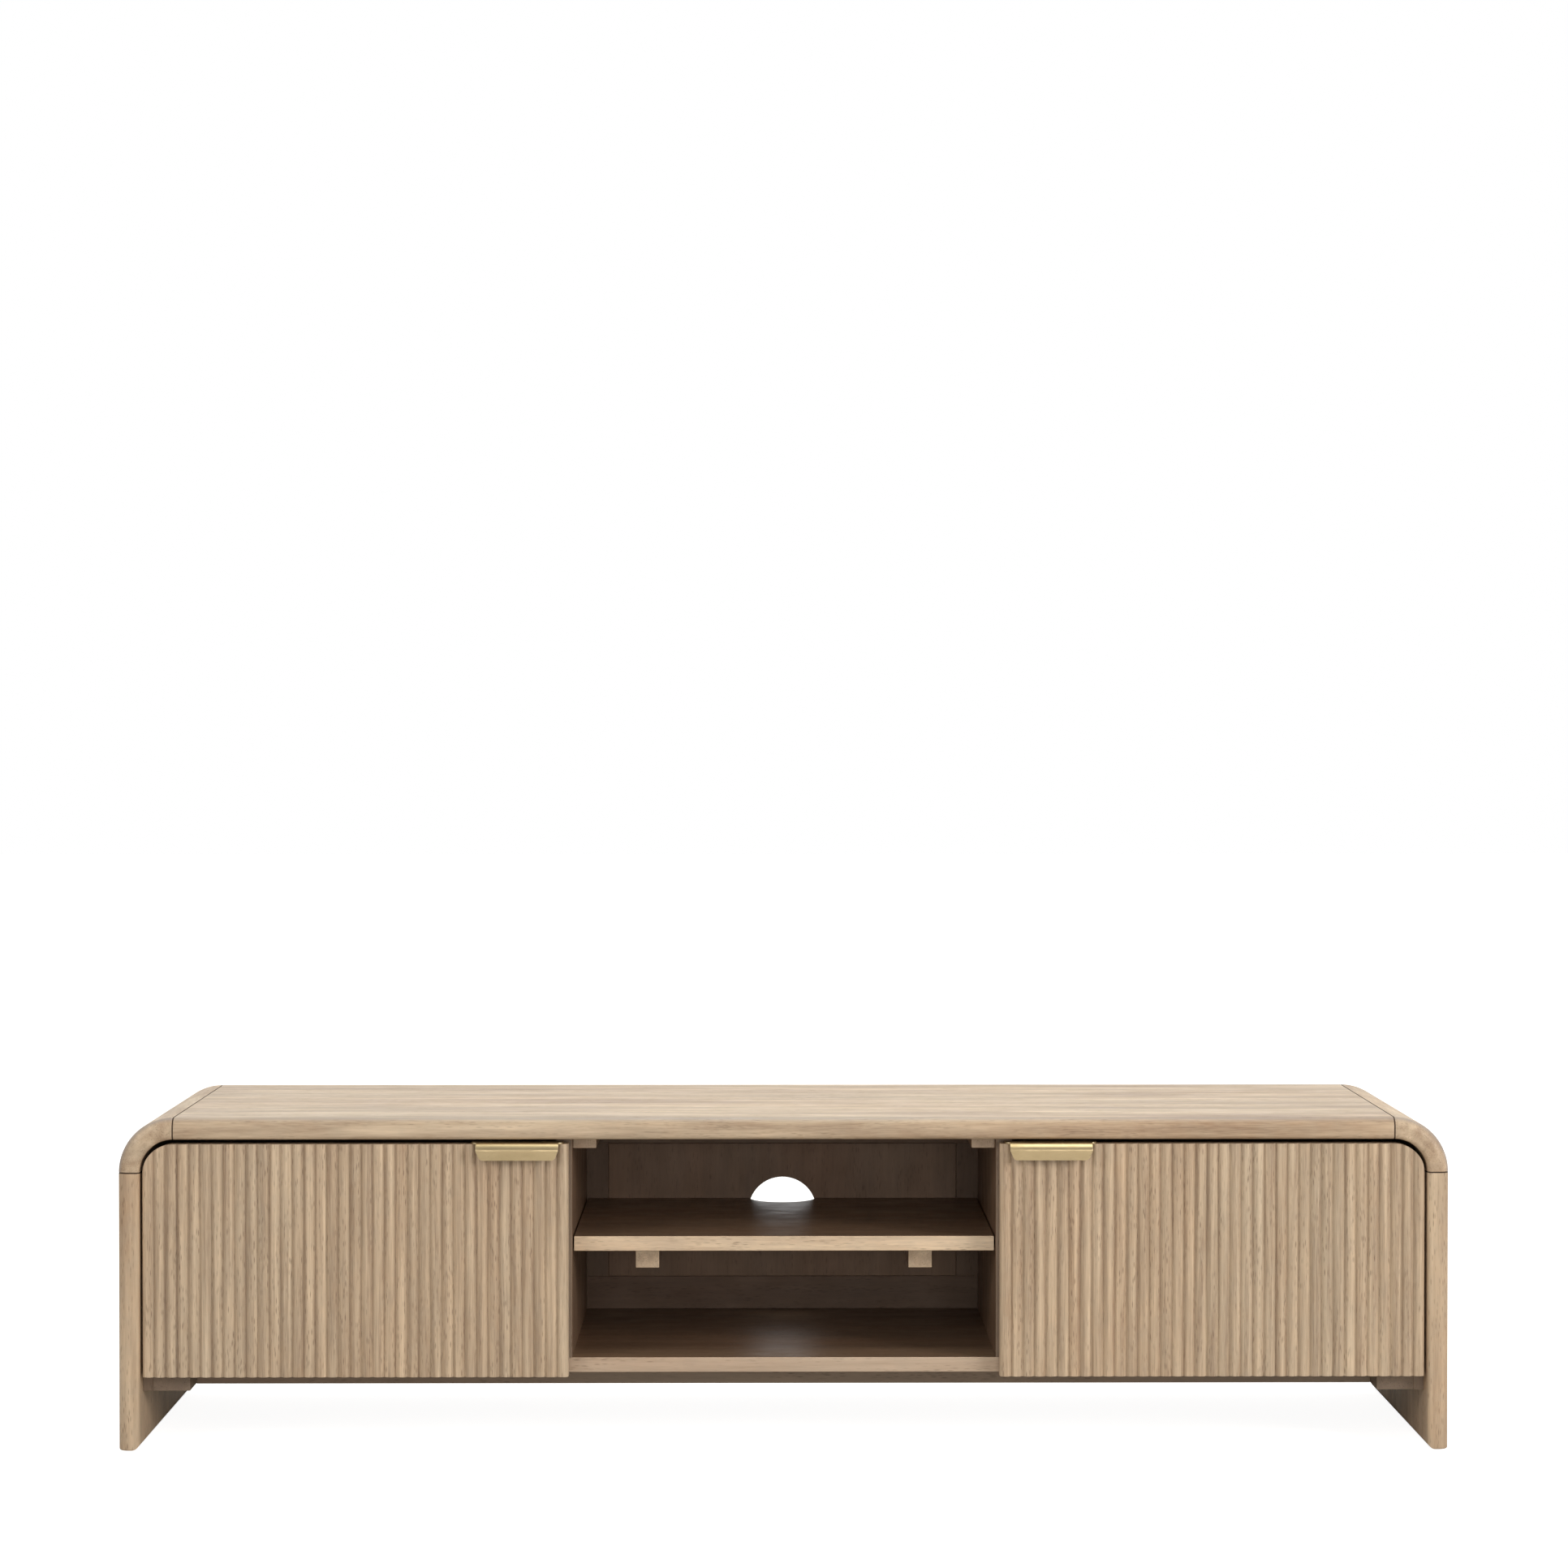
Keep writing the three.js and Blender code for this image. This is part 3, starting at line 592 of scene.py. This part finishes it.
def makeCorners():
    # the boards' section, swept a quarter turn round the corner's centre
    low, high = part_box("right_corner_block")
    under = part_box("top_board")[0].z
    bm = bmesh.new()
    corners = [(low.y, under), (high.y, under), (high.y, high.z), (low.y, high.z)]
    verts = [bm.verts.new((low.x, y, z)) for y, z in corners]
    bm.faces.new(verts)
    radii = [shell["innerRound"], shell["backRound"], shell["backRound"], shell["frontRound"]]
    for vert, radius in zip(verts, radii):
        atFront = radius == shell["frontRound"]
        roundCorner(bm, [vert], radius, shell["frontSteps"] if atFront else shell["sectionSteps"])
    bmesh.ops.spin(
        bm, geom=bm.verts[:] + bm.edges[:] + bm.faces[:], cent=(low.x, 0, low.z), axis=(0, 1, 0),
        angle=math.pi / 2, steps=shell["turnSteps"], use_duplicate=False,
    )
    bmesh.ops.recalc_face_normals(bm, faces=bm.faces)
    paintFrontReflection(bm)
    easeEdges(bm, shell["seamEase"], sharper=60, mark="seamAndValleyShade")
    finishPair("corner", bm, "carcass", "lengthwise_wood", "cornerWood", "corner_block", grain="y", tone=0.1)


def makeSidePanels():
    low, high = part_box("right_side_panel")
    bm = blankBoard(low, high)
    roundOff(bm, edgesAt(bm, x=high.x, y=low.y), shell["frontRound"], shell["frontSteps"])
    roundOff(bm, edgesAt(bm, x=low.x, y=low.y), shell["innerRound"], shell["innerSteps"])
    back = edgesAt(bm, y=high.y, x=low.x) + edgesAt(bm, y=high.y, x=high.x)
    roundOff(bm, back, shell["backRound"], shell["backSteps"])
    roundOff(bm, edgesAt(bm, z=low.z), shell["foot"], shell["footSteps"])
    cutRound(bm, low, (-1, -1), shell["footInner"] * mm, shell["footCuts"])
    easeEdges(bm, shell["seamEase"], lambda e: e.verts[0].co.z > high.z - near, mark="seamAndValleyShade")
    finishPair("side_board", bm, "carcass", "upright_wood", "shellUpright", "side_panel", grain="z", tone=0.2)


# the boards inside the shell, eased in millimetres
plainPairs = {
    # node: finish, finish of its front edge, grain, tone, eased edge
    "top_seam_spline": ("batten", None, "y", 0.0, 0.3),
    "side_seam_spline": ("batten", None, "y", 0.0, 0.3),
    "inner_side": ("inside", "shadedBatten", "z", 0.2, 0.6),
    "divider": ("inside", "shadedBatten", "z", 0.1, 0.8),
    "base_batten": ("shadedBatten", None, "y", 0.0, 0.8),
    "top_cleat": ("inside", "batten", "y", -0.1, 1.6),
    "shelf_batten": ("inside", "frontEdge", "y", 0.0, 1.0),
    "middle_back_stile": ("backPanel", None, "z", -1.8, 0.5),
    "end_back_stile": ("backPanel", None, "z", -0.8, 0.5),
}
plainBoards = {
    "bottom_board": ("inside", "batten", "x", 0.1, 0.9),
    "front_base_rail": ("shadedBatten", None, "x", -0.2, 0.8),
    "rear_base_rail": ("shadedBatten", None, "x", 0.0, 0.8),
    "top_back_rail": ("backPanel", None, "x", -1.2, 0.5),
    "bottom_back_rail": ("backPanel", None, "x", -2.2, 0.5),
    "left_back_panel": ("backPanel", None, "z", 0.1, 0.5),
    "centre_back_panel": ("backPanel", None, "z", 0.2, 0.5),
    "right_back_panel": ("backPanel", None, "z", -0.1, 0.5),
}


def slotOf(node):
    return next(p["material_slot"] for p in frame["record"]["subparts"] if p["node"] == node)


def makeBoards():
    for node, (finish, front, grain, tone, ease) in plainBoards.items():
        bm = cadCopy(node, ease)
        how = {"grain": grain, "tone": tone, "front": front}
        finishPiece(f"{node}_wood", bm, "carcass", slotOf(node), finish, [node], **how)
    for node, (finish, front, grain, tone, ease) in plainPairs.items():
        bm = cadCopy(f"right_{node}", ease)
        how = {"grain": grain, "tone": tone, "front": front}
        finishPair(node, bm, "carcass", slotOf(f"right_{node}"), finish, node, **how)


def makeShelf():
    bm = cadCopy("shelf", 0.9)
    finishPiece("shelf_plank", bm, "carcass", "lengthwise_wood", "inside", ["shelf"], front="frontEdge")
    for place in ("front", "rear"):
        node = f"{place}_shelf_pin"
        finishPair(node, cadCopy(f"right_{node}", 0.3), "carcass", "nickel", "nickelPlate", node)


# lengths in millimetres, "valleyShadeReach" as a share of a reed; "stain" is how dark the painted shade in the reed
# valleys is
door = {
    "reeds": 37, "reedDepth": 4, "arcSteps": 10, "valley": 1.3, "corner": 37, "cornerCuts": 22,
    "backRound": 2, "roundSteps": 4, "ease": 0.35, "rimRise": 8, "valleyShade": 0.2, "valleyShadeReach": 0.22,
    "boreRadius": 17.8, "boreSpare": 0.3, "drill": 40,
}


def drill(radius, length, centre):
    # a plain round cutter that points along the depth
    bm = bmesh.new()
    bmesh.ops.create_cone(
        bm, cap_ends=True, segments=48, radius1=radius, radius2=radius, depth=length,
        matrix=Matrix.Translation(centre) @ Matrix.Rotation(math.pi / 2, 4, "X"),
    )
    return bm


def makeDoors():
    low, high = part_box("right_door")
    pitch = (high.x - low.x) / door["reeds"]
    depth = door["reedDepth"] * mm
    arc = (pitch**2 / 4 + depth**2) / (2 * depth)  # radius of a reed's face
    half = math.asin(pitch / 2 / arc)
    bm = bmesh.new()
    backInner = bm.verts.new((low.x, high.y, low.z))
    start = last = bm.verts.new((low.x, low.y + depth, low.z))
    for reed in range(door["reeds"]):
        middle = (low.x + (reed + 0.5) * pitch, low.y + arc, low.z)
        swept = bmesh.ops.spin(
            bm, geom=[last], cent=middle, axis=(0, 0, 1), angle=2 * half, steps=door["arcSteps"],
        )
        last = next(v for v in swept["geom_last"] if isinstance(v, bmesh.types.BMVert))
    backOuter = bm.verts.new((high.x, high.y, low.z))
    for pair in ((last, backOuter), (backOuter, backInner), (backInner, start)):
        bm.edges.new(pair)
    roundCorner(bm, [backOuter], door["backRound"], door["roundSteps"])
    valleys = [v for v in bm.verts if abs(v.co.y - low.y - depth) < near and low.x < v.co.x < high.x - near]
    roundCorner(bm, valleys, door["valley"], door["roundSteps"])
    plan = bmesh.ops.contextual_create(bm, geom=bm.edges[:])["faces"]
    raised = bmesh.ops.extrude_face_region(bm, geom=plan)["geom"]
    tops = [v for v in raised if isinstance(v, bmesh.types.BMVert)]
    bmesh.ops.translate(bm, vec=(0, 0, high.z - low.z), verts=tops)

    # the top outer corner follows the shell
    cutRound(bm, high, (1, 1), door["corner"] * mm, door["cornerCuts"])

    # blind bores for the hinge cups
    for level in ("lower", "upper"):
        cupLow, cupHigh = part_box(f"right_{level}_hinge_cup")
        middle = (cupLow + cupHigh) / 2
        middle.y = cupLow.y + (door["drill"] / 2 - door["boreSpare"]) * mm
        cutAway(bm, drill(door["boreRadius"] * mm, door["drill"] * mm, middle))

    def isRim(edge):
        # the rims round the leaf and the bores, not the long lines of the reeds
        return abs(edge.verts[0].co.z - edge.verts[1].co.z) < door["rimRise"] * mm

    easeEdges(bm, door["ease"], isRim)

    # painted shade: the valleys between the reeds and the flanks beside them are darkened in the seam colour
    valleyShade = layerOf(bm, "seamAndValleyShade")
    for face in bm.faces:
        middle = face.calc_center_median()
        if middle.y < low.y + depth + near and face.normal.y < -near:
            across = ((middle.x - low.x) / pitch) % 1
            fromValley = min(across, 1 - across)
            face[valleyShade] = door["valleyShade"] * max(0.0, 1 - fromValley / door["valleyShadeReach"])

    def reedOf(face):
        onBack = abs(face.normal.y) > 0.999
        return -1 if onBack else int((abs(face.calc_center_median().x) - low.x) / pitch)

    how = {"grain": "z", "strip": reedOf}
    finishPair("reeded_door", bm, "{side}_door_leaf", "upright_wood", "reeds", "door", **how)


# the pull is a bent brass sheet: a flange with splayed ends and a lip, in millimetres
pull = {
    "sheet": 2, "bend": 9.5, "flare": 6, "fullness": 2, "endFullness": 1, "bendInset": 6,
    "lipInset": 11, "lipRound": 3.5, "lipSteps": 8, "ease": 0.3, "steps": 10,
}


def makePulls():
    low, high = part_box("right_pull")
    bend = pull["bend"] * mm
    bendY = low.y + bend
    flare = pull["flare"] * mm
    bm = bmesh.new()
    # depth of each row of the flange, and how far its ends stand in
    rows = [(high.y, 0.0)]
    for i in range(pull["steps"] + 1):
        t = i / pull["steps"]
        swell = 2 * t * (1 - t) * mm
        inset = swell * pull["endFullness"] + t * t * pull["bendInset"] * mm
        rows.append((bendY + (1 - t) ** 2 * flare + swell * pull["fullness"], inset))
    chain = [bm.verts.new((low.x + inset, y, high.z)) for y, inset in rows]
    for a, b in zip(chain, chain[1:]):
        bm.edges.new((a, b))
    swept = bmesh.ops.spin(
        bm, geom=[chain[-1]], cent=(0, bendY, high.z - bend), axis=(1, 0, 0), angle=math.pi / 2,
        steps=pull["steps"],
    )
    lipTop = next(v for v in swept["geom_last"] if isinstance(v, bmesh.types.BMVert))
    lipEnd = bm.verts.new((low.x + pull["lipInset"] * mm, low.y, low.z))
    bm.edges.new((lipTop, lipEnd))
    across = bmesh.ops.extrude_edge_only(bm, edges=bm.edges[:])["geom"]
    middle = (low.x + high.x) / 2
    for vert in across:
        if isinstance(vert, bmesh.types.BMVert):
            vert.co.x = 2 * middle - vert.co.x
    ends = [v for v in bm.verts if abs(v.co.z - low.z) < near]
    roundCorner(bm, ends, pull["lipRound"], pull["lipSteps"])
    bmesh.ops.recalc_face_normals(bm, faces=bm.faces)
    if sum(f.normal.z for f in bm.faces) < 0:
        bmesh.ops.reverse_faces(bm, faces=bm.faces)
    bmesh.ops.solidify(bm, geom=bm.faces[:], thickness=pull["sheet"] * mm)
    easeEdges(bm, pull["ease"], sharper=50)
    finishPair("pull_plate", bm, "{side}_door_leaf", "brass", "satinBrass", "pull", grain="x")


hinge = {
    # part: the body it rides on, how far its edges are eased
    "cup": ("{side}_door_leaf", 0.2),
    "link": ("{side}_hinge_links", 0.25),
    "arm": ("carcass", 0.5),
    "plate": ("carcass", 0.35),
}
screws = {
    "plateHead": 3.4, "cupHead": 3.2, "cupInset": 4.5, "rise": 0.9, "dome": 0.8,
    "pullHead": 3.6, "pullSunk": 0.6, "pullRise": 0.8,
    "crossLong": 1.9, "crossWide": 0.5, "crossDeep": 0.6, "crossTurn": 0.4,
}


def screwHead(centre, direction, radius, rise=None):
    # a low domed head with a cross recess, facing the given way
    rise = (rise or screws["rise"]) * mm
    bm = bmesh.new()
    bmesh.ops.create_cone(
        bm, cap_ends=True, segments=24, radius1=radius * mm, radius2=radius * mm, depth=2 * rise,
    )
    bmesh.ops.bevel(
        bm, geom=edgesAt(bm, z=rise), offset=rise * screws["dome"], offset_type="OFFSET", affect="EDGES",
        segments=4, profile=0.5, material=-1,
    )
    for turn in (0, math.pi / 2):
        bar = bmesh.new()
        bmesh.ops.create_cube(bar, size=1)
        half = Vector((screws["crossLong"], screws["crossWide"], screws["crossDeep"])) * mm
        bmesh.ops.scale(bar, vec=2 * half, verts=bar.verts)
        bmesh.ops.translate(bar, vec=(0, 0, rise), verts=bar.verts)
        turned = Matrix.Rotation(turn + screws["crossTurn"], 3, "Z")
        bmesh.ops.rotate(bar, cent=(0, 0, 0), matrix=turned, verts=bar.verts)
        cutAway(bm, bar)
    aim = Vector(direction).to_track_quat("Z", "Y").to_matrix().to_4x4()
    bmesh.ops.transform(bm, matrix=Matrix.Translation(centre) @ aim, verts=bm.verts)
    return bm


def joined(shapes):
    whole = bmesh.new()
    for shape in shapes:
        mesh = bpy.data.meshes.new("part")
        shape.to_mesh(mesh)
        whole.from_mesh(mesh)
        bpy.data.meshes.remove(mesh)
        shape.free()
    return whole


def makeHinges():
    plateScrews, cupScrews = [], []
    for level in ("lower", "upper"):
        for part, (body, ease) in hinge.items():
            node = f"{level}_hinge_{part}"
            bm = cadCopy(f"right_lower_hinge_{part}", ease, sharper=50)
            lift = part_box(f"right_{node}")[0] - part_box(f"right_lower_hinge_{part}")[0]
            bmesh.ops.translate(bm, vec=lift, verts=bm.verts)
            finishPair(node, bm, body, "nickel", "nickelPlate", node, grain="z")
        low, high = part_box(f"right_{level}_hinge_plate")
        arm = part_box(f"right_{level}_hinge_arm")
        for z in (low.z + (arm[0].z - low.z) / 2, high.z - (high.z - arm[1].z) / 2):
            plateScrews.append(screwHead((low.x, (low.y + high.y) / 2, z), (-1, 0, 0), screws["plateHead"]))
        low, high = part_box(f"right_{level}_hinge_cup")
        for z in (low.z + screws["cupInset"] * mm, high.z - screws["cupInset"] * mm):
            cupScrews.append(screwHead(((low.x + high.x) / 2, high.y, z), (0, 1, 0), screws["cupHead"]))
    finishPair("hinge_plate_screws", joined(plateScrews), "carcass", "nickel", "nickelPlate", grain="z")
    finishPair("hinge_cup_screws", joined(cupScrews), "{side}_door_leaf", "nickel", "nickelPlate", grain="z")
    for place in ("inner", "outer"):
        node = f"pull_{place}_screw"
        low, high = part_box(f"right_{node}")
        seat = ((low.x + high.x) / 2, (low.y + high.y) / 2, high.z - screws["pullSunk"] * mm)
        head = screwHead(seat, (0, 0, 1), screws["pullHead"], screws["pullRise"])
        bm = joined([head, cadCopy(f"right_{node}", 0)])
        finishPair(node, bm, "{side}_door_leaf", "brass", "satinBrass", node, grain="z")


makeStage()
print("stage: camera, floor and", len(lighting["boxes"]), "softboxes")
makeTop()
makeCorners()
makeSidePanels()
print("shell: top, corners and sides")
makeBoards()
makeShelf()
print("carcass:", len(plainBoards) + 2 * len(plainPairs), "boards, the shelf and its pins")
makeDoors()
print("doors:", door["reeds"], "reeds each")
makePulls()
makeHinges()
print("pulls, hinges and screws")

scene.view_settings.view_transform = "Standard"
